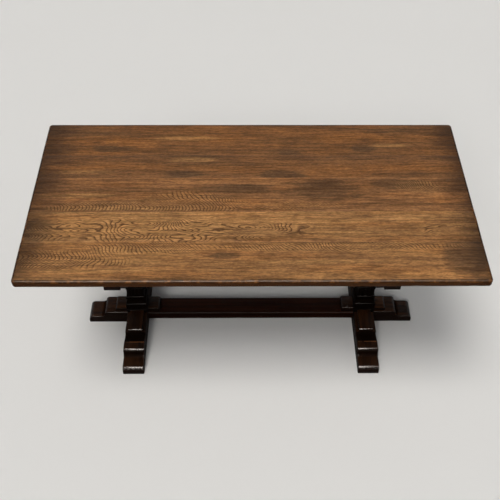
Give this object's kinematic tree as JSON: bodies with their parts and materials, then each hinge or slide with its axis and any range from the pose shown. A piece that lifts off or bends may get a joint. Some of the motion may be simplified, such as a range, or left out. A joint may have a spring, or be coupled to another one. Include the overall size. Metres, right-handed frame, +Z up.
{
  "type": "refectory table",
  "caption": "Dark oak refectory table: edge-glued plank top on carved columns with curved corbels, cross-shaped shaped feet and a low floor stretcher.",
  "frame": {"origin": "on the floor, under the centre of the top", "axes": "+X along the length of the table, -Y towards a sitter at the front long edge, +Z up"},
  "size_m": [1.676, 0.838, 0.762],
  "materials": {
    "top_oak": "stained and waxed oak with a soft sheen, worn paler in the middle",
    "base_oak": "nearly black-brown stained oak, polished, rubbed paler on its edges",
    "pad_oak": "dark stained oak, rubbed paler by feet",
    "joint_oak": "plain oak, unpolished",
    "screw_steel": "bright steel, dulled"
  },
  "bodies": {
    "root": {"front_edge_board": "top_oak", "front_inner_board": "top_oak", "middle_board": "top_oak", "back_inner_board": "top_oak", "back_edge_board": "top_oak", "board_tongues": "joint_oak", "left_bearer": "base_oak", "right_bearer": "base_oak", "top_buttons": "joint_oak", "button_screws": "screw_steel", "left_front_corbel": "base_oak", "left_back_corbel": "base_oak", "right_front_corbel": "base_oak", "right_back_corbel": "base_oak", "corbel_dowels": "joint_oak", "left_column": "base_oak", "right_column": "base_oak", "bearer_pegs": "joint_oak", "left_sledge_foot": "base_oak", "right_sledge_foot": "base_oak", "left_cross_foot": "base_oak", "right_cross_foot": "base_oak", "left_front_pad": "pad_oak", "left_back_pad": "pad_oak", "left_outer_pad": "pad_oak", "left_inner_pad": "pad_oak", "right_front_pad": "pad_oak", "right_back_pad": "pad_oak", "right_outer_pad": "pad_oak", "right_inner_pad": "pad_oak", "stretcher": "base_oak", "stretcher_pegs": "joint_oak"}
  },
  "joints": []
}
